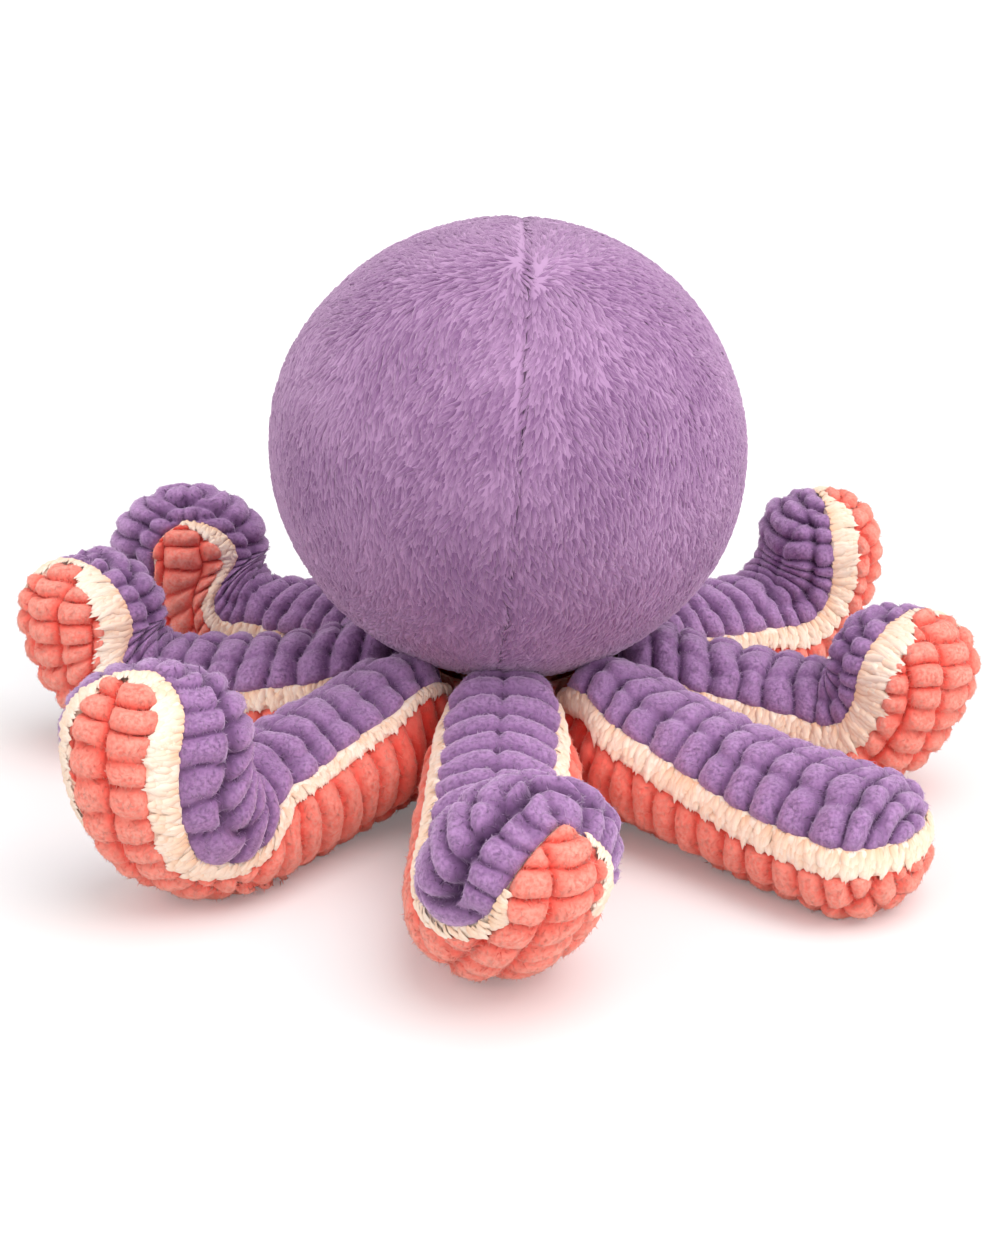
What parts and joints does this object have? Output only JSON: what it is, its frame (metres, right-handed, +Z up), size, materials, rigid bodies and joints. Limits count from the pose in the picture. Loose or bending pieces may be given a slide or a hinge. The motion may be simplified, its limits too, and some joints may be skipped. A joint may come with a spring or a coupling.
{
  "type": "plush octopus",
  "caption": "Sitting plush octopus with a round, smooth-furred head on ribbed stuffed arms that curl up at their toes.",
  "frame": {"origin": "centre of the belly's flat underside, on the surface that the toy sits on, under the middle of the head", "axes": "+Z up; +Y towards the side that the face looks to, so -Y is the toy's back, which the picture shows; +X to the toy's right"},
  "size_m": [0.3343, 0.3679, 0.1968],
  "materials": {
    "mantle_plush": "dense mauve faux fur, combed down from the crown, soft sheen",
    "arm_plush": "violet ribbed chenille plush, deep round ribs",
    "sole_plush": "coral ribbed chenille plush, round lobes",
    "trim_plush": "cream long pile in tufts",
    "fibre_filling": "white polyester fibre filling",
    "bag_cloth": "plain woven cotton bag of plastic beans",
    "eye_plastic": "glossy near-black moulded dome",
    "washer_plastic": "natural white moulded locking washer"
  },
  "bodies": {
    "body": {"head_back_right": "mantle_plush", "head_front_right": "mantle_plush", "head_front_left": "mantle_plush", "head_back_left": "mantle_plush", "head_stuffing": "fibre_filling", "eye_right": "eye_plastic", "eye_washer_right": "washer_plastic", "eye_left": "eye_plastic", "eye_washer_left": "washer_plastic", "belly": "sole_plush", "bean_bag": "bag_cloth"},
    "arm_back": {"arm_back_top": "arm_plush", "arm_back_trim": "trim_plush", "arm_back_sole": "sole_plush", "arm_back_stuffing": "fibre_filling"},
    "arm_back_right": {"arm_back_right_top": "arm_plush", "arm_back_right_trim": "trim_plush", "arm_back_right_sole": "sole_plush", "arm_back_right_stuffing": "fibre_filling"},
    "arm_right": {"arm_right_top": "arm_plush", "arm_right_trim": "trim_plush", "arm_right_sole": "sole_plush", "arm_right_stuffing": "fibre_filling"},
    "arm_front_right": {"arm_front_right_top": "arm_plush", "arm_front_right_trim": "trim_plush", "arm_front_right_sole": "sole_plush", "arm_front_right_stuffing": "fibre_filling"},
    "arm_front": {"arm_front_top": "arm_plush", "arm_front_trim": "trim_plush", "arm_front_sole": "sole_plush", "arm_front_stuffing": "fibre_filling"},
    "arm_front_left": {"arm_front_left_top": "arm_plush", "arm_front_left_trim": "trim_plush", "arm_front_left_sole": "sole_plush", "arm_front_left_stuffing": "fibre_filling"},
    "arm_left": {"arm_left_top": "arm_plush", "arm_left_trim": "trim_plush", "arm_left_sole": "sole_plush", "arm_left_stuffing": "fibre_filling"},
    "arm_back_left": {"arm_back_left_top": "arm_plush", "arm_back_left_trim": "trim_plush", "arm_back_left_sole": "sole_plush", "arm_back_left_stuffing": "fibre_filling"}
  },
  "joints": [
    {"name": "arm_back_lift", "type": "hinge", "parent": "body", "child": "arm_back", "pos_m": [-0.00175, -0.04997, 0.027], "axis": [-0.9994, 0.0349, 0], "range_deg": [-30, 30]},
    {"name": "arm_back_right_lift", "type": "hinge", "parent": "body", "child": "arm_back_right", "pos_m": [0.0341, -0.03657, 0.027], "axis": [-0.7314, -0.682, 0], "range_deg": [-30, 30]},
    {"name": "arm_right_lift", "type": "hinge", "parent": "body", "child": "arm_right", "pos_m": [0.04997, -0.00175, 0.027], "axis": [-0.0349, -0.9994, 0], "range_deg": [-30, 30]},
    {"name": "arm_front_right_lift", "type": "hinge", "parent": "body", "child": "arm_front_right", "pos_m": [0.03657, 0.0341, 0.027], "axis": [0.682, -0.7314, 0], "range_deg": [-30, 30]},
    {"name": "arm_front_lift", "type": "hinge", "parent": "body", "child": "arm_front", "pos_m": [0.00175, 0.04997, 0.027], "axis": [0.9994, -0.0349, 0], "range_deg": [-30, 30]},
    {"name": "arm_front_left_lift", "type": "hinge", "parent": "body", "child": "arm_front_left", "pos_m": [-0.0341, 0.03657, 0.027], "axis": [0.7314, 0.682, 0], "range_deg": [-30, 30]},
    {"name": "arm_left_lift", "type": "hinge", "parent": "body", "child": "arm_left", "pos_m": [-0.04997, 0.00175, 0.027], "axis": [0.0349, 0.9994, 0], "range_deg": [-30, 30]},
    {"name": "arm_back_left_lift", "type": "hinge", "parent": "body", "child": "arm_back_left", "pos_m": [-0.03657, -0.0341, 0.027], "axis": [-0.682, 0.7314, 0], "range_deg": [-30, 30]}
  ]
}
